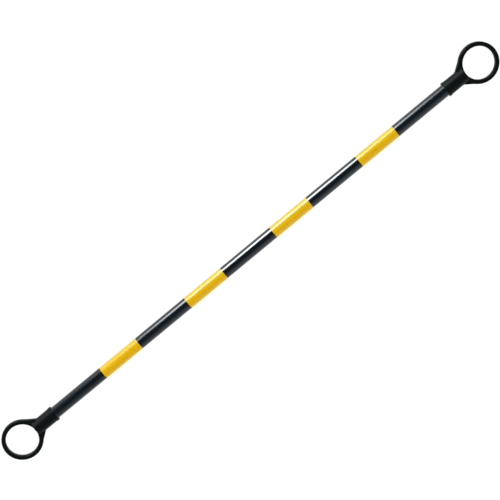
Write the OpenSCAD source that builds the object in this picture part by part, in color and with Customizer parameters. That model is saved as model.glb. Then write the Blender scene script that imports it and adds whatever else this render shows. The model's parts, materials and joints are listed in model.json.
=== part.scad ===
// Cone bar: a striped pipe with a moulded ring end on each end.
// Each ring drops over the tip of a traffic cone, so that the bar spans the gap between two cones.
// X runs along the pipe, Z runs along the holes of the rings, and the origin is the middle of the pipe.

/* [Pipe] */
// Length of the pipe
pipe_l = 1500; // [1000:10:2400]
// Outside diameter of the pipe
pipe_d = 35; // [26:0.5:48]
// Wall of the pipe
pipe_wall = 2; // [1.4:0.1:3.5]
// Depth of the groove that is rolled into the pipe near each end
groove_depth = 1.2; // [0.8:0.1:1.8]
// Width of the groove's floor
groove_floor_w = 2; // [1.4:0.1:4]

/* [Yellow bands] */
// Length of one band along the pipe
band_l = 127; // [60:1:220]
// Distance from one band's start to the next band's start
band_pitch = 300; // [240:5:420]
// Thickness of the band's film
film_t = 0.25; // [0.1:0.05:0.6]
// Least length of bare pipe between a socket's mouth and the first band
bare_end_min = 80; // [20:5:120]

/* [Ring] */
// Diameter of the hole that goes over a cone's tip
hole_d = 90; // [70:1:130]
// Thickness of the ring, from its hole outwards
ring_w = 12; // [8:0.5:18]
// Height of the ring along its hole
ring_h = 16; // [12:0.5:24]
// Rounding of the ring's edges
ring_round = 4; // [1:0.25:5]

/* [Socket] */
// Depth of the socket, from its floor to its mouth
socket_depth = 65; // [45:1:100]
// Thickness of the floor between the ring's hole and the socket
floor_t = 5; // [4:0.25:9]
// Wall of the socket beside the ring
socket_wall = 2.8; // [2:0.1:5]
// Extra wall that the socket gains on its way to the lip
socket_draft = 0.5; // [0:0.1:1.5]
// Length of the lip round the mouth
lip_l = 7.5; // [6:0.25:14]
// How far the lip stands out from the socket
lip_rise = 1; // [0.4:0.1:3]
// How far the flats above and below the lip stand out from the socket: they stop the bar from rolling
lip_flat_rise = 0.3; // [0:0.05:0.35]
// Rounding of the socket's edges
socket_round = 1; // [0.2:0.1:1.5]

/* [Webs] */
// Height of the straight rims that run from the ring to the socket's sides
rim_h = 12; // [7:0.5:13]
// Width of one rim
rim_w = 4.5; // [2.5:0.25:6]
// Thickness of the sunk web between the ring, a rim and the socket
web_t = 5; // [2:0.5:6]
// Distance from the ring's outside to where the rims end on the socket
rim_reach = 10; // [5:0.5:24]

/* [End plugs] */
// Length of the spigot inside the pipe
spigot_l = 20; // [10:1:32]
// Wall of the spigot
spigot_wall = 2; // [1.2:0.1:4]
// Height of the ribs that grip the pipe's bore
rib_h = 0.4; // [0.2:0.05:0.8]
// Length of one rib along the spigot
rib_l = 2; // [1:0.25:3]
// Thickness of the flange that covers the pipe's end
flange_t = 2; // [1:0.25:4]

/* [Clearances] */
// Gap all round between the pipe and the socket that turns on it
swivel_gap = 0.2; // [0.1:0.05:0.4]
// Gap between the socket's bead and the pipe's groove
bead_gap = 0.3; // [0.15:0.05:0.5]
// Gap between a plug's flange and the socket's floor
end_gap = 0.5; // [0.3:0.05:1]
// How far the flange stays inside the pipe's outside
flange_inset = 0.5; // [0.25:0.05:1]

/* [Hidden] */
$fn = 96;

// Steps in a quarter round
ROUND_STEPS = 6;
// Overrun of a cutter past the face that it opens
CUT_OVER = 1;

pipe_r = pipe_d / 2;
bore_r = pipe_r - pipe_wall;
hole_r = hole_d / 2;
ring_r = hole_r + ring_w;
ring_mid_r = hole_r + ring_w / 2;
// A rounding never takes more than 0.45 of the section that it is cut from
ring_edge = min(ring_round, 0.45 * min(ring_w, ring_h));

// Places along the bar, from the centre of a ring's hole towards the middle of the pipe
floor_d = hole_r + floor_t;
pipe_end_d = floor_d + end_gap + flange_t;
mouth_d = floor_d + socket_depth;
lip_d = mouth_d - lip_l;
bead_d = mouth_d - lip_l / 2;
rim_end_d = ring_r + rim_reach;
// The socket's blind end stands back from the hole by this share of the floor, so that the hole stays round
socket_start_d = hole_r + 0.6 * floor_t;

ring_x = pipe_l / 2 + pipe_end_d;
groove_x = ring_x - bead_d;

socket_bore_r = pipe_r + swivel_gap;
socket_r = socket_bore_r + socket_wall;
socket_lip_r = socket_r + socket_draft;
lip_r = socket_lip_r + lip_rise;
lip_flat_z = socket_lip_r + lip_flat_rise;
lip_edge = min(socket_round, 0.45 * lip_rise + 0.2, 0.3 * lip_l);
mouth_lead = 0.35 * (lip_r - socket_bore_r);

// The bead is the groove's section, drawn in by the bead's gap at its floor and its 45 degree flanks
bead_crest_r = pipe_r - groove_depth + bead_gap;
bead_crest_half = groove_floor_w / 2 + bead_gap - bead_gap * sqrt(2);
bead_base_half = bead_crest_half + socket_bore_r - bead_crest_r;
groove_floor_half = groove_floor_w / 2;
groove_top_half = groove_floor_half + groove_depth;
// The pipe's wall keeps its thickness round the corners of the rolled groove
wall_shift = pipe_wall * tan(22.5);

flange_r = pipe_r - flange_inset;
spigot_r = bore_r - rib_h;
rib_places = [0.3, 0.75];

// Bands are set out evenly about the middle of the pipe, as many as fit
open_l = 2 * (ring_x - mouth_d);
band_count = max(1, floor((open_l - 2 * bare_end_min - band_l) / band_pitch) + 1);

function band_name(i) = str("yellow_band_", i);
function band_middle(i) = (i - (band_count + 1) / 2) * band_pitch;

// Points of a round corner, from one angle to another about a centre
function corner(centre, r, from, to) = [
    for (k = [0 : ROUND_STEPS])
        let (a = from + (to - from) * k / ROUND_STEPS)
        centre + r * [cos(a), sin(a)]
];

// Turns what was revolved about Z so that it lies along the bar
module along_bar() {
    rotate([0, 90, 0])
        rotate_extrude()
            children();
}

// Places a ring end or a plug at one end of the bar, from a hole's centre with +X pointing inwards
module at_end(side) {
    translate([side * ring_x, 0, 0])
        rotate([0, 0, side > 0 ? 180 : 0])
            children();
}

// One wall face of the pipe as radius and place along the bar, with a groove dipped into it near each end
function grooved_line(r, floor_half, top_half) = [
    [r, -pipe_l / 2],
    for (side = [-1, 1])
        for (dip = [[-top_half, 0], [-floor_half, groove_depth], [floor_half, groove_depth], [top_half, 0]])
            [r - dip[1], side * groove_x + dip[0]],
    [r, pipe_l / 2]
];

function reversed(points) = [for (k = [len(points) - 1 : -1 : 0]) points[k]];

// Extruded pipe, with its wall rolled inwards where the ring ends snap on
module pipe() {
    outside = grooved_line(pipe_r, groove_floor_half, groove_top_half);
    inside = grooved_line(bore_r, groove_floor_half + wall_shift, groove_top_half + wall_shift);
    color("#12191e")
        along_bar()
            polygon(concat(outside, reversed(inside)));
}

// Wrap of yellow film
module yellow_band(i) {
    color("#ebb905")
        along_bar()
            translate([pipe_r, band_middle(i) - band_l / 2])
                square([film_t, band_l]);
}

// The ring's section, a bar with round edges, turned about the hole
module ring() {
    low = -ring_h / 2 + ring_edge;
    high = ring_h / 2 - ring_edge;
    near = hole_r + ring_edge;
    far = ring_r - ring_edge;
    rotate_extrude()
        polygon(concat(
            corner([near, low], ring_edge, 180, 270),
            corner([far, low], ring_edge, 270, 360),
            corner([far, high], ring_edge, 0, 90),
            corner([near, high], ring_edge, 90, 180)
        ));
}

// Line along one rim, at a distance inside the rim's outer edge, with its ends buried in ring and socket
function rim_line(inside) =
    let (
        // The outer edge touches a circle that lies just within the ring's outside
        edge_r = ring_r - 0.3 * ring_edge,
        foot = [rim_end_d, socket_r],
        turn = atan2(foot[1], foot[0]) + acos(edge_r / norm(foot)),
        out = [cos(turn), sin(turn)],
        touch = edge_r * out,
        root = foot + (foot - touch) / norm(foot - touch) * socket_r / 2
    )
    [touch - inside * out, root - inside * out];

// One straight rim and the sunk web beside it
module rim_and_web() {
    linear_extrude(rim_h, center = true)
        polygon(concat(rim_line(0), reversed(rim_line(rim_w))));
    difference() {
        linear_extrude(web_t, center = true)
            polygon(concat([[rim_end_d, 0]], rim_line(rim_w / 2)));
        cylinder(h = web_t + 2 * CUT_OVER, r = ring_mid_r, center = true);
    }
}

// Outside of the socket, with its lip, which is flat above and below
module socket_body() {
    intersection() {
        along_bar()
            polygon(concat(
                [[0, socket_start_d]],
                corner([socket_r - socket_round, socket_start_d + socket_round], socket_round, -90, 0),
                [[socket_lip_r, lip_d]],
                corner([lip_r - lip_edge, lip_d + lip_edge], lip_edge, -90, 0),
                corner([lip_r - lip_edge, mouth_d - lip_edge], lip_edge, 0, 90),
                [[0, mouth_d]]
            ));
        cube([2 * (mouth_d + CUT_OVER), 2 * (lip_r + CUT_OVER), 2 * lip_flat_z], center = true);
    }
}

// Space that the pipe's end fills: it keeps the bead that snaps into the pipe's groove
module socket_bore() {
    along_bar()
        polygon([
            [0, floor_d],
            [socket_bore_r, floor_d],
            [socket_bore_r, bead_d - bead_base_half],
            [bead_crest_r, bead_d - bead_crest_half],
            [bead_crest_r, bead_d + bead_crest_half],
            [socket_bore_r, bead_d + bead_base_half],
            [socket_bore_r, mouth_d - mouth_lead],
            [socket_bore_r + mouth_lead + CUT_OVER, mouth_d + CUT_OVER],
            [0, mouth_d + CUT_OVER]
        ]);
}

// Ring, webs and socket, moulded in one piece
module ring_end(side) {
    color("#1d1e20")
        at_end(side)
            difference() {
                union() {
                    ring();
                    rim_and_web();
                    mirror([0, 1, 0])
                        rim_and_web();
                    socket_body();
                }
                socket_bore();
            }
}

// Cup-shaped plug that closes the pipe, and whose flange turns against the socket's floor
module end_plug(side) {
    flange_d = floor_d + end_gap;
    color("#2a2b2d")
        at_end(side)
            along_bar()
                difference() {
                    union() {
                        translate([0, flange_d])
                            square([flange_r, flange_t]);
                        translate([0, pipe_end_d])
                            square([spigot_r, spigot_l]);
                        for (share = rib_places)
                            translate([0, pipe_end_d + share * spigot_l - rib_l / 2])
                                square([bore_r, rib_l]);
                    }
                    translate([0, flange_d + spigot_wall])
                        square([spigot_r - spigot_wall, flange_t + spigot_l]);
                }
}

pipe();
ring_end(-1);  // ring_end_left
ring_end(1);  // ring_end_right
end_plug(-1);  // end_plug_left
end_plug(1);  // end_plug_right
for (i = [1 : band_count])
    yellow_band(i);
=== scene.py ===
"""Cone bar: a black and yellow striped pipe with a moulded ring end on each end, on a pale floor."""

import json
import math

import bpy
import numpy as np
from mathutils import Matrix, Vector


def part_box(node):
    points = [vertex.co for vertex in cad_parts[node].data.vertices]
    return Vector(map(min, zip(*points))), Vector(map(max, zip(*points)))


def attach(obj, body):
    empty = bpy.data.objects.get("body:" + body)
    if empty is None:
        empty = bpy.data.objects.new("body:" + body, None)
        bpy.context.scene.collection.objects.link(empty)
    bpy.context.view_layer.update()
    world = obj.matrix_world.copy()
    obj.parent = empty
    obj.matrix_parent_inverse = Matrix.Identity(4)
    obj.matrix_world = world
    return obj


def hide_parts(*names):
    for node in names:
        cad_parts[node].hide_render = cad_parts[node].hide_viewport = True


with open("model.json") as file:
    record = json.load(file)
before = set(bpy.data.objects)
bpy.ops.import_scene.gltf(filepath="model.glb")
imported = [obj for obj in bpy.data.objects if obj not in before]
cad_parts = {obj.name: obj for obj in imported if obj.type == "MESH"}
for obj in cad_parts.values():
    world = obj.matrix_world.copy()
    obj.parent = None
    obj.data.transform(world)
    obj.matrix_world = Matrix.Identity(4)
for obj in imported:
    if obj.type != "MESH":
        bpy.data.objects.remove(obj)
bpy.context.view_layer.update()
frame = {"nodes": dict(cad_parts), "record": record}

# The part's sizes are in millimetres until a mesh is written, and are the frame's where it states them
MM = 0.001
ring_hole = next(m for m in frame["record"]["mounts"] if m["name"] == "ring_hole_right")
ring_box = [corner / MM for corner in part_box("ring_end_right")]
pipe_box = [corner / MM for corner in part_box("pipe")]

# Pipe
pipe_r = pipe_box[1].z
pipe_half = pipe_box[1].x
pipe_wall = 2
pipe_crease = math.radians(30)
groove_depth = 1.2
groove_floor_half = 1

# Ring: names that end in _d are distances along the bar, from the centre of the ring's hole inwards
hole_r = ring_hole["dims"]["r_mm"]
ring_x = ring_hole["pos_m"][0] / MM
ring_r = ring_box[1].x - ring_x
ring_mid_r = (hole_r + ring_r) / 2
ring_h = 16
ring_edge = 4

# Socket, with a bore that turns on the pipe
mouth_d = ring_x - ring_box[0].x
hole_wall = 3
socket_start_d = hole_r + hole_wall
swivel_gap = 0.2
socket_bore_r = pipe_r + swivel_gap
socket_wall = 2.8
socket_r = socket_bore_r + socket_wall
socket_draft = 0.5
socket_edge = 1
socket_floor = 2
bore_start_d = socket_start_d + socket_floor
bore_edge = 0.5
bore_run_out = 10

# Lip at the socket's mouth, with a bead inside it that rides in the pipe's groove
lip_l = 7.5
lip_d = mouth_d - lip_l
lip_rise = 1
lip_r = socket_r + socket_draft + lip_rise
lip_edge = 0.65
lip_flat_z = ring_box[1].z
mouth_lead = 1.5
bead_d = mouth_d - lip_l / 2
bead_rise = 1.1
bead_crest_half = 0.88

# Rims from the ring to the socket, webs sunk inside them, and fillets
rim_h = 12
rim_w = 4.5
rim_edge = 1
rim_reach = 10
rim_inset = 0.3 * ring_edge
rim_root = socket_r / 2
web_t = 5
fillet = 2.2
web_fillet = 5
small_fillet = 0.8

# Film
film_t = 0.12
film_lap = 9
film_crease = math.radians(40)
glue_line = 0.01
seam_turn = math.radians(-115)

# The studio is in metres, and its floor lies just below the lowest place that a turned ring reaches
floor_gap = 1
floor_z = -(ring_r + floor_gap) * MM

# Fineness of the meshes: the skin's step is chosen so that no flat face lies in a plane of its grid
SKIN_STEP = 0.74
ROUND_STEPS = 160
FILM_STEPS_ALONG = 5
FILM_STEPS_ROUND = 192
WELD = 0.001


def linear(code):
    """An sRGB hex colour as the linear RGBA that shaders take."""
    parts = [int(code[k:k + 2], 16) / 255 for k in (1, 3, 5)]
    return [c / 12.92 if c <= 0.04045 else ((c + 0.055) / 1.055) ** 2.4 for c in parts] + [1]


def add(tree, kind, inputs=None, **settings):
    """Adds a node. An input gets a value, or a link from a socket or from a node's first output."""
    node = tree.nodes.new(kind)
    for name, value in settings.items():
        setattr(node, name, value)
    for key, value in (inputs or {}).items():
        if isinstance(value, bpy.types.Node):
            value = value.outputs[0]
        if isinstance(value, bpy.types.NodeSocket):
            tree.links.new(value, node.inputs[key])
        else:
            node.inputs[key].default_value = value
    return node


def new_material(name):
    """An empty node material, and its tree."""
    material = bpy.data.materials.new(name)
    material.use_nodes = True
    material.node_tree.nodes.clear()
    return material, material.node_tree


def put(name, data):
    """A new object in the scene, at the origin."""
    thing = bpy.data.objects.new(name, data)
    bpy.context.scene.collection.objects.link(thing)
    return thing


# Distance fields of the ring end

def rounded_box(halves, edge, *places):
    """Distance to a box with round edges, from the places across it."""
    over = [np.abs(place) - half + edge for place, half in zip(places, halves)]
    outside = np.sqrt(sum(np.maximum(o, 0) ** 2 for o in over))
    inside = np.minimum(np.maximum.reduce(over), 0)
    return outside + inside - edge


def blended(a, b, radius):
    """The two forms in one, with a fillet where they meet."""
    near = np.maximum(radius - np.abs(a - b), 0)
    return np.minimum(a, b) - near ** 2 / (4 * radius)


def turned(x, r, start, end, radius, edge):
    """Distance to a body turned about the bar's axis, with round edges at both ends."""
    return rounded_box([(end - start) / 2, radius], edge, x - (start + end) / 2, r)


def rim_line():
    """The outer line of one rim: where it touches the ring, its way along, its way out and its length."""
    touch_r = ring_r - rim_inset
    foot = np.array([ring_r + rim_reach, socket_r])
    turn = math.atan2(foot[1], foot[0]) + math.acos(touch_r / np.linalg.norm(foot))
    out = np.array([math.cos(turn), math.sin(turn)])
    along = np.array([out[1], -out[0]])
    touch = touch_r * out
    return touch, along, out, np.linalg.norm(foot - touch) + rim_root


def ring_end_field(x, y, z):
    """Distance to the surface of a ring end: ring, rims, sunk webs, socket and lip, less the bore."""
    r = np.hypot(y, z)
    from_hole = np.hypot(x, y)
    ring = rounded_box([(ring_r - hole_r) / 2, ring_h / 2], ring_edge, from_hole - ring_mid_r, z)

    touch, along, out, length = rim_line()
    side_x = x - touch[0]
    side_y = np.abs(y) - touch[1]
    run = side_x * along[0] + side_y * along[1]
    depth = side_x * out[0] + side_y * out[1]
    rim_halves = [length / 2, rim_w / 2, rim_h / 2]
    rim = rounded_box(rim_halves, rim_edge, run - length / 2, depth + rim_w / 2, z)
    web = np.maximum.reduce([
        depth + rim_w, -run, ring_mid_r - from_hole, x - ring_r - rim_reach, np.abs(z) - web_t / 2,
    ])

    draft = socket_draft * np.clip((x - socket_start_d) / (lip_d - socket_start_d), 0, 1)
    socket = turned(x, r, socket_start_d, mouth_d - socket_edge, socket_r + draft, socket_edge)
    lip = turned(x, r, lip_d, mouth_d, lip_r, lip_edge)

    lead = np.maximum(x - mouth_d + mouth_lead, 0)
    bead = np.clip(bead_rise + bead_crest_half - np.abs(x - bead_d), 0, bead_rise)
    bore = turned(x, r, bore_start_d, mouth_d + bore_run_out, socket_bore_r + lead - bead, bore_edge)

    body = blended(blended(ring, socket, fillet), rim, fillet)
    body = blended(body, web, web_fillet)
    body = blended(body, lip, small_fillet)
    return np.maximum.reduce([body, np.abs(z) - lip_flat_z, -bore])


# Skinning of a field: the least values keep a division away from zero

LEAST_SLOPE = 0.1
LEAST_LENGTH = 1e-9


def slope(field, points, reach=0.01):
    """How the field rises along X, Y and Z at each point."""
    ways = np.eye(3) * reach
    return np.stack([field(*(points + w).T) - field(*(points - w).T) for w in ways], 1) / (2 * reach)


def onto_surface(field, points, most, rounds=3):
    """Moves points onto the field's zero surface, by no more than a given distance each time."""
    for _ in range(rounds):
        rise = slope(field, points)
        steepness = np.maximum((rise ** 2).sum(1), LEAST_SLOPE)
        move = -field(*points.T)[:, None] * rise / steepness[:, None]
        size = np.linalg.norm(move, axis=1)[:, None]
        points = points + move * np.minimum(1, most / np.maximum(size, LEAST_LENGTH))
    return points


def skin(field, low, high, step, evenings=4):
    """A closed mesh of quads on the field's zero surface: its points, faces and outward normals."""
    margin = 2 * step
    low = np.array(low, float) - margin
    counts = np.ceil((np.array(high, float) + margin - low) / step).astype(int)
    axes = [start + step * np.arange(count) for start, count in zip(low, counts)]
    inside = field(*np.meshgrid(*axes, indexing="ij")) < 0

    # A cell whose corners lie on both sides of the surface gets one point
    sides = (slice(None, -1), slice(1, None))
    corners = sum(inside[a, b, c].astype(np.int8) for a in sides for b in sides for c in sides)
    mixed = (corners > 0) & (corners < 8)
    number = np.full(mixed.shape, -1)
    number[mixed] = np.arange(mixed.sum())
    points = low + step * (np.argwhere(mixed) + 0.5)

    # A grid edge that crosses the surface gets a face, which joins the points of the four cells round it
    faces = []
    for axis in range(3):
        across, up = (axis + 1) % 3, (axis + 2) % 3
        here = np.take(inside, range(counts[axis] - 1), axis)
        there = np.take(inside, range(1, counts[axis]), axis)
        edges = np.argwhere(here != there)
        around = []
        for a, b in ((-1, -1), (0, -1), (0, 0), (-1, 0)):
            cells = edges.copy()
            cells[:, across] += a
            cells[:, up] += b
            around.append(number[tuple(cells.T)])
        quads = np.stack(around, 1)
        leaving = here[tuple(edges.T)][:, None]
        faces.append(np.where(leaving, quads, quads[:, ::-1]))
    faces = np.concatenate(faces)

    # The points are evened out among their neighbours and brought back to the surface
    points = onto_surface(field, points, step)
    ends = np.concatenate([faces[:, [k, (k + 1) % 4]] for k in range(4)])
    shares = np.bincount(ends[:, 0], minlength=len(points))
    for _ in range(evenings):
        sums = [np.bincount(ends[:, 0], points[ends[:, 1], k], len(points)) for k in range(3)]
        points = onto_surface(field, np.stack(sums, 1) / shares[:, None], step / 2)
    rise = slope(field, points)
    return points, faces, rise / np.maximum(np.linalg.norm(rise, axis=1), LEAST_LENGTH)[:, None]


def mesh_object(name, points, faces, material):
    """A smooth mesh object at the origin, from points in millimetres."""
    mesh = bpy.data.meshes.new(name)
    mesh.from_pydata((np.asarray(points) * MM).tolist(), [], np.asarray(faces).tolist())
    mesh.shade_smooth()
    mesh.materials.append(material)
    return put(name, mesh)


# Materials: each starts with the sizes of its patterns, in millimetres

def moulded_polyethylene():
    """Black polyethylene from a lightly blasted mould: a satin skin, fine pebble and a parting line."""
    # The pebble of a blasted mould is finer, and is drawn this coarse so that it shows
    pebble = 0.9
    pebble_depth = 0.06
    flow_mark = 28
    parting_half = 0.35
    parting_rise = 0.12
    material, tree = new_material("black_moulded_polyethylene")
    place = add(tree, "ShaderNodeTexCoord").outputs["Object"]
    grit = add(tree, "ShaderNodeTexNoise", {"Vector": place, "Scale": 1 / (pebble * MM), "Detail": 2})
    flow = add(tree, "ShaderNodeTexNoise", {"Vector": place, "Scale": 1 / (flow_mark * MM), "Detail": 3})
    height = add(tree, "ShaderNodeSeparateXYZ", {"Vector": place}).outputs["Z"]
    off_line = add(tree, "ShaderNodeMath", {0: height}, operation="ABSOLUTE")
    line = add(tree, "ShaderNodeMapRange", {
        "Value": off_line, "From Max": parting_half * MM, "To Min": 1, "To Max": 0,
    })
    skin_bump = add(tree, "ShaderNodeBump", {
        "Strength": 0.15, "Distance": pebble_depth * MM, "Height": grit,
    })
    line_bump = add(tree, "ShaderNodeBump", {
        "Strength": 0.6, "Distance": parting_rise * MM, "Height": line, "Normal": skin_bump,
    })
    shine = add(tree, "ShaderNodeMapRange", {"Value": flow, "To Min": 0.36, "To Max": 0.48})
    tint = add(tree, "ShaderNodeValToRGB", {"Fac": flow})
    tint.color_ramp.elements[0].color = linear("#050a0b")
    tint.color_ramp.elements[1].color = linear("#090e10")
    surface = add(tree, "ShaderNodeBsdfPrincipled", {
        "Base Color": tint, "Roughness": shine, "IOR": 1.5, "Specular IOR Level": 0.12,
        "Normal": line_bump,
    })
    add(tree, "ShaderNodeOutputMaterial", {"Surface": surface})
    return material


def extruded_abs():
    """Black ABS, extruded to a gloss: a deep and clear skin with faint draw lines along the pipe."""
    # Real draw lines are finer, and are drawn this coarse so that they show
    draw_line = 2.5
    draw_line_depth = 0.03
    haze_streak = 8

    # Both patterns are drawn out a hundredfold along the bar
    drawn_out = (0.01, 1, 1)
    material, tree = new_material("black_extruded_abs")
    place = add(tree, "ShaderNodeTexCoord").outputs["Object"]
    drawn = add(tree, "ShaderNodeMapping", {"Vector": place, "Scale": drawn_out})
    lines = add(tree, "ShaderNodeTexNoise", {"Vector": drawn, "Scale": 1 / (draw_line * MM), "Detail": 2})
    haze = add(tree, "ShaderNodeTexNoise", {"Vector": drawn, "Scale": 1 / (haze_streak * MM), "Detail": 2})
    shine = add(tree, "ShaderNodeMapRange", {"Value": haze, "To Min": 0.13, "To Max": 0.17})
    bump = add(tree, "ShaderNodeBump", {
        "Strength": 0.05, "Distance": draw_line_depth * MM, "Height": lines,
    })
    surface = add(tree, "ShaderNodeBsdfPrincipled", {
        "Base Color": linear("#081219"), "Roughness": shine, "IOR": 1.59, "Normal": bump,
    })
    add(tree, "ShaderNodeOutputMaterial", {"Surface": surface})
    return material


def vinyl_film():
    """Glossy yellow vinyl film: a full warm yellow under a clear skin, slightly rippled by wrapping."""
    ripple_width = 12
    ripple_depth = 0.05
    cast_patch = 40
    material, tree = new_material("yellow_vinyl_film")
    place = add(tree, "ShaderNodeTexCoord").outputs["Object"]
    ripple = add(tree, "ShaderNodeTexNoise", {
        "Vector": place, "Scale": 1 / (ripple_width * MM), "Detail": 1,
    })
    cast = add(tree, "ShaderNodeTexNoise", {"Vector": place, "Scale": 1 / (cast_patch * MM), "Detail": 3})
    tint = add(tree, "ShaderNodeValToRGB", {"Fac": cast})
    tint.color_ramp.elements[0].color = linear("#e7b104")
    tint.color_ramp.elements[1].color = linear("#ebb803")
    shine = add(tree, "ShaderNodeMapRange", {"Value": cast, "To Min": 0.18, "To Max": 0.23})
    bump = add(tree, "ShaderNodeBump", {
        "Strength": 0.06, "Distance": ripple_depth * MM, "Height": ripple,
    })
    surface = add(tree, "ShaderNodeBsdfPrincipled", {
        "Base Color": tint, "Roughness": shine, "IOR": 1.46, "Normal": bump,
    })
    add(tree, "ShaderNodeOutputMaterial", {"Surface": surface})
    return material


def moulded_polypropylene():
    """Plain dark polypropylene of the plugs: a duller skin with a fine grain."""
    # The grain of a plain mould is finer, and is drawn this coarse so that it shows
    grain_width = 0.7
    grain_depth = 0.05
    material, tree = new_material("dark_moulded_polypropylene")
    place = add(tree, "ShaderNodeTexCoord").outputs["Object"]
    grain = add(tree, "ShaderNodeTexNoise", {
        "Vector": place, "Scale": 1 / (grain_width * MM), "Detail": 2,
    })
    tint = add(tree, "ShaderNodeValToRGB", {"Fac": grain})
    tint.color_ramp.elements[0].color = linear("#26282a")
    tint.color_ramp.elements[1].color = linear("#2f3133")
    bump = add(tree, "ShaderNodeBump", {"Strength": 0.3, "Distance": grain_depth * MM, "Height": grain})
    surface = add(tree, "ShaderNodeBsdfPrincipled", {
        "Base Color": tint, "Roughness": 0.55, "IOR": 1.49, "Normal": bump,
    })
    add(tree, "ShaderNodeOutputMaterial", {"Surface": surface})
    return material


# Pieces

def ring_ends(material):
    """Both ring ends, from one skin: the right one is the left one turned half round."""
    low = [-ring_r, -ring_r, -lip_r]
    high = [mouth_d, ring_r, lip_r]
    points, faces, normals = skin(ring_end_field, low, high, SKIN_STEP)
    for side, name in ((-1, "left"), (1, "right")):
        turn = np.array([-side, -side, 1])
        places = points * turn + [side * ring_x, 0, 0]
        piece = mesh_object(f"ring_moulding_{name}", places, faces, material)
        piece.data.normals_split_custom_set_from_vertices((normals * turn).tolist())
        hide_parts(f"ring_end_{name}")
        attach(piece, f"{name}_end")


def lathe(name, section, material):
    """A closed section of places along the bar and radii, turned about the bar's axis."""
    x, r = np.array(section, float).T
    angles = np.arange(ROUND_STEPS) * math.tau / ROUND_STEPS
    points = np.concatenate([np.stack([x, r * math.cos(a), r * math.sin(a)], 1) for a in angles])
    count = len(section)
    faces = []
    for turn in range(ROUND_STEPS):
        this = turn * count
        after = (turn + 1) % ROUND_STEPS * count
        for k in range(count):
            next_k = (k + 1) % count
            faces.append((this + k, after + k, after + next_k, this + next_k))
    return mesh_object(name, points, faces, material)


def pipe_piece(material):
    """The pipe, with the groove that the ring ends' beads ride in rolled into its wall near each end."""
    groove_x = ring_x - bead_d
    top_half = groove_floor_half + groove_depth

    # Inside, the groove's 45 degree flanks lie further out, so that the wall keeps its thickness
    shift = pipe_wall * math.tan(math.pi / 8)

    def wall(r, wider):
        dips = [(-top_half - wider, 0), (-groove_floor_half - wider, groove_depth)]
        dips += [(-x, depth) for x, depth in reversed(dips)]
        line = [(side * groove_x + x, r - depth) for side in (-1, 1) for x, depth in dips]
        return [(-pipe_half, r), *line, (pipe_half, r)]

    section = wall(pipe_r, 0) + wall(pipe_r - pipe_wall, shift)[::-1]
    piece = lathe("striped_pipe", section, material)
    piece.data.set_sharp_from_angle(angle=pipe_crease)
    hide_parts("pipe")
    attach(piece, "bar")


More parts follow.
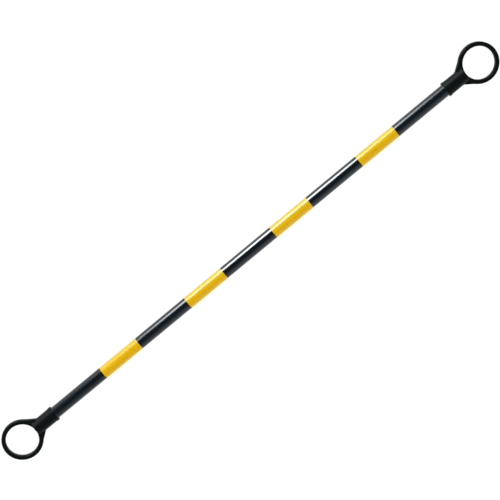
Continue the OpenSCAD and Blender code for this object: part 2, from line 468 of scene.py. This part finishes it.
def film_wrap_tree():
    """Geometry nodes for a wrap of film: a sheet rolled round the pipe, whose end laps over its start."""
    tree = bpy.data.node_groups.new("film_wrap", "GeometryNodeTree")
    kinds = dict.fromkeys([
        "Pipe Radius", "Film Thickness", "Glue Line", "Band Start", "Band Length", "Lap", "Seam Turn",
    ], "NodeSocketFloat")
    kinds["Material"] = "NodeSocketMaterial"
    sockets = {}
    for name, kind in kinds.items():
        sockets[name] = tree.interface.new_socket(name, in_out="INPUT", socket_type=kind).identifier
    tree.interface.new_socket("Geometry", in_out="OUTPUT", socket_type="NodeSocketGeometry")
    given = add(tree, "NodeGroupInput").outputs

    # A sheet of unit size, whose X becomes the place along the band and whose Y the angle round the pipe
    sheet = add(tree, "GeometryNodeMeshGrid", {
        "Size X": 1, "Size Y": 1, "Vertices X": FILM_STEPS_ALONG + 1, "Vertices Y": FILM_STEPS_ROUND + 1,
    })
    place = add(tree, "GeometryNodeInputPosition")
    parts = add(tree, "ShaderNodeSeparateXYZ", {0: place}).outputs
    share_along = add(tree, "ShaderNodeMath", {0: parts["X"], 1: 0.5}, operation="ADD")
    share_round = add(tree, "ShaderNodeMath", {0: parts["Y"], 1: 0.5}, operation="ADD")
    x = add(tree, "ShaderNodeMath", {
        0: share_along, 1: given["Band Length"], 2: given["Band Start"],
    }, operation="MULTIPLY_ADD")
    lap_turn = add(tree, "ShaderNodeMath", {0: given["Lap"], 1: given["Pipe Radius"]}, operation="DIVIDE")
    whole_turn = add(tree, "ShaderNodeMath", {0: lap_turn, 1: math.tau}, operation="ADD")
    rolled = add(tree, "ShaderNodeMath", {0: share_round, 1: whole_turn}, operation="MULTIPLY")
    angle = add(tree, "ShaderNodeMath", {0: given["Seam Turn"], 1: rolled}, operation="SUBTRACT")

    # The film climbs over its own start in the last tenth of a radian before the full turn
    climb_turn = 0.1
    climb = add(tree, "ShaderNodeMapRange", {
        "Value": rolled, "From Min": math.tau - climb_turn, "From Max": math.tau,
    }, interpolation_type="SMOOTHSTEP")
    layer = add(tree, "ShaderNodeMath", {
        0: given["Film Thickness"], 1: given["Glue Line"],
    }, operation="ADD")
    radius = add(tree, "ShaderNodeMath", {
        0: climb, 1: layer, 2: given["Pipe Radius"],
    }, operation="MULTIPLY_ADD")
    cosine = add(tree, "ShaderNodeMath", {0: angle}, operation="COSINE")
    sine = add(tree, "ShaderNodeMath", {0: angle}, operation="SINE")
    y = add(tree, "ShaderNodeMath", {0: radius, 1: cosine}, operation="MULTIPLY")
    z = add(tree, "ShaderNodeMath", {0: radius, 1: sine}, operation="MULTIPLY")
    wrapped = add(tree, "ShaderNodeCombineXYZ", {"X": x, "Y": y, "Z": z})
    under = add(tree, "GeometryNodeSetPosition", {"Geometry": sheet, "Position": wrapped})

    # The rolled sheet is thickened outwards and closed underneath
    over = add(tree, "GeometryNodeExtrudeMesh", {
        "Mesh": under, "Offset Scale": given["Film Thickness"], "Individual": False,
    })
    back = add(tree, "GeometryNodeFlipFaces", {"Mesh": under})
    both = add(tree, "GeometryNodeJoinGeometry", {0: over})
    tree.links.new(back.outputs[0], both.inputs[0])
    closed = add(tree, "GeometryNodeMergeByDistance", {"Geometry": both, "Distance": WELD * MM})
    real = add(tree, "GeometryNodeRealizeInstances", {"Geometry": closed})
    done = add(tree, "GeometryNodeSetMaterial", {"Geometry": real, "Material": given["Material"]})
    add(tree, "NodeGroupOutput", {0: done})
    return tree, sockets


def film_bands(material):
    """The yellow bands, one wrap of film each."""
    tree, sockets = film_wrap_tree()
    for node in sorted(n for n in frame["nodes"] if n.startswith("yellow_band_")):
        low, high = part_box(node)
        name = node.replace("yellow_band", "film_band")
        piece = put(name, bpy.data.meshes.new(name))
        wrap = piece.modifiers.new("film wrap", "NODES")
        wrap.node_group = tree
        values = {
            "Pipe Radius": pipe_r * MM, "Film Thickness": film_t * MM, "Glue Line": glue_line * MM,
            "Band Start": low.x, "Band Length": high.x - low.x, "Lap": film_lap * MM,
            "Seam Turn": seam_turn, "Material": material,
        }
        for socket, value in values.items():
            wrap[sockets[socket]] = value
        seen = piece.evaluated_get(bpy.context.evaluated_depsgraph_get())
        mesh = bpy.data.meshes.new_from_object(seen)
        piece.modifiers.clear()
        piece.data = mesh
        mesh.shade_smooth()
        mesh.set_sharp_from_angle(angle=film_crease)
        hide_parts(node)
        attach(piece, "bar")


def end_plugs(material):
    """The plugs are hidden in the sockets, and keep their own form under a moulded finish."""
    for name in ("end_plug_left", "end_plug_right"):
        plug = frame["nodes"][name]
        plug.data.materials.clear()
        plug.data.materials.append(material)


# Studio

def camera():
    """The photograph's view: nearly from above, with the bar from lower left to upper right."""
    towards = Vector((0.04, 0.245, 0.969)).normalized()
    looked_at = Vector((0.0076, 0.0033, 0))
    distance = 3.87
    view_angle = math.radians(19.86)
    bar_slant = math.radians(39.578)
    bar_way = (Vector((1, 0, 0)) - towards * towards.x).normalized()
    side_way = towards.cross(bar_way)
    right = bar_way * math.cos(bar_slant) - side_way * math.sin(bar_slant)
    up = bar_way * math.sin(bar_slant) + side_way * math.cos(bar_slant)
    turn = Matrix((right, up, towards)).transposed()
    lens = bpy.data.cameras.new("camera")
    lens.sensor_width = 36
    lens.lens = lens.sensor_width / 2 / math.tan(view_angle / 2)
    lens.clip_end = 200
    eye = put("camera", lens)
    eye.matrix_world = Matrix.Translation(looked_at + towards * distance) @ turn.to_4x4()
    bpy.context.scene.camera = eye


def area_lamp(name, width, height, power):
    """A rectangular lamp that isn't seen itself, with its power given for a square metre."""
    lamp = bpy.data.lights.new(name, "AREA")
    lamp.shape = "RECTANGLE"
    lamp.size = width
    lamp.size_y = height
    lamp.normalize = False
    lamp.energy = power
    light = put(name, lamp)
    light.visible_camera = False
    return light


def key_light():
    """A tall soft box that stands on the floor beside the bar and fades towards its two ends."""
    width = 6.5
    height = 9.1
    power = 83
    away = 14
    along = -0.015
    light = area_lamp("key", width, height, power)
    light.location = (along, away, floor_z + height / 2)
    light.rotation_euler = (math.radians(-90), 0, 0)

    # The fade runs over these shares of the width, counted from the middle
    full_to = 0.04
    dark_from = 0.46
    light.data.use_nodes = True
    tree = light.data.node_tree
    tree.nodes.clear()
    share = add(tree, "ShaderNodeNewGeometry").outputs["Parametric"]
    across = add(tree, "ShaderNodeSeparateXYZ", {0: share}).outputs["X"]
    off_middle = add(tree, "ShaderNodeMath", {0: across, 1: 0.5}, operation="SUBTRACT")
    off_middle = add(tree, "ShaderNodeMath", {0: off_middle}, operation="ABSOLUTE")
    fade = add(tree, "ShaderNodeMapRange", {
        "Value": off_middle, "From Min": full_to, "From Max": dark_from, "To Min": 1, "To Max": 0,
    }, interpolation_type="SMOOTHSTEP")
    glow = add(tree, "ShaderNodeEmission", {"Color": linear("#f4f9fd"), "Strength": fade})
    add(tree, "ShaderNodeOutputLight", {"Surface": glow})


def fill_light():
    """A low broad lamp on the other side, which lifts the shaded flank and isn't mirrored in it."""
    width = 5
    height = 2.4
    power = 13.5
    away = 6
    slope_down = math.radians(25)
    light = area_lamp("fill", width, height, power)
    light.location = (0, -away * math.cos(slope_down), away * math.sin(slope_down))
    light.rotation_euler = (math.pi / 2 - slope_down, 0, 0)
    light.visible_glossy = False


def surround():
    """A dim room with soft light from beyond the bar's two ends and from the side away from the key."""
    dim = 0.08
    end_glow = 1
    side_glow = 0.95
    side_glow_endways = 0.45
    world = bpy.data.worlds.new("studio")
    world.use_nodes = True
    tree = world.node_tree
    tree.nodes.clear()

    # A way is a unit vector, so the ranges are cosines of its angle to the bar or to the key's side
    way = add(tree, "ShaderNodeTexCoord").outputs["Generated"]
    parts = add(tree, "ShaderNodeSeparateXYZ", {0: way}).outputs
    endways = add(tree, "ShaderNodeMath", {0: parts["X"]}, operation="ABSOLUTE")
    ends = add(tree, "ShaderNodeMapRange", {
        "Value": endways, "From Min": 0.3, "From Max": 0.7, "To Min": dim, "To Max": end_glow,
    }, interpolation_type="SMOOTHSTEP")
    side = add(tree, "ShaderNodeMapRange", {
        "Value": endways, "From Min": 0.05, "From Max": 0.3,
        "To Min": side_glow, "To Max": side_glow_endways,
    })
    sideways = add(tree, "ShaderNodeMapRange", {
        "Value": parts["Y"], "From Min": -0.12, "From Max": -0.95, "To Min": dim, "To Max": side,
    })
    glow = add(tree, "ShaderNodeMath", {0: ends, 1: sideways}, operation="MAXIMUM")
    light = add(tree, "ShaderNodeBackground", {"Color": linear("#f4f8fb"), "Strength": glow})
    add(tree, "ShaderNodeOutputWorld", {"Surface": light})
    bpy.context.scene.world = world


def pale_floor():
    """A floor that is white with a soft shadow where it is seen or mirrored, and else a matt pale grey."""
    white_level = 0.9
    half = 60
    material, tree = new_material("pale_floor")
    path = add(tree, "ShaderNodeLightPath").outputs
    seen = add(tree, "ShaderNodeMath", {
        0: path["Is Camera Ray"], 1: path["Is Glossy Ray"],
    }, operation="MAXIMUM")
    seen = add(tree, "ShaderNodeMath", {0: seen, 1: path["Is Transmission Ray"]}, operation="MAXIMUM")
    white = add(tree, "ShaderNodeEmission", {"Color": linear("#ffffff"), "Strength": white_level})
    shaded = add(tree, "ShaderNodeBsdfDiffuse", {"Color": linear("#6c6c6c")})
    lit = add(tree, "ShaderNodeAddShader", {0: white, 1: shaded})
    matt = add(tree, "ShaderNodeBsdfDiffuse", {"Color": linear("#d8d8d6")})
    choice = add(tree, "ShaderNodeMixShader", {0: seen, 1: matt, 2: lit})
    add(tree, "ShaderNodeOutputMaterial", {"Surface": choice})
    corners = [(x * half, y * half, floor_z) for x, y in ((-1, -1), (1, -1), (1, 1), (-1, 1))]
    mesh = bpy.data.meshes.new("floor")
    mesh.from_pydata(corners, [], [(0, 1, 2, 3)])
    mesh.materials.append(material)
    floor = put("floor", mesh)


camera()
ring_ends(moulded_polyethylene())
pipe_piece(extruded_abs())
film_bands(vinyl_film())
end_plugs(moulded_polypropylene())
pale_floor()
key_light()
fill_light()
surround()
bpy.context.scene.view_settings.view_transform = "Standard"

# The scene's placements are brought up to date
bpy.context.view_layer.update()
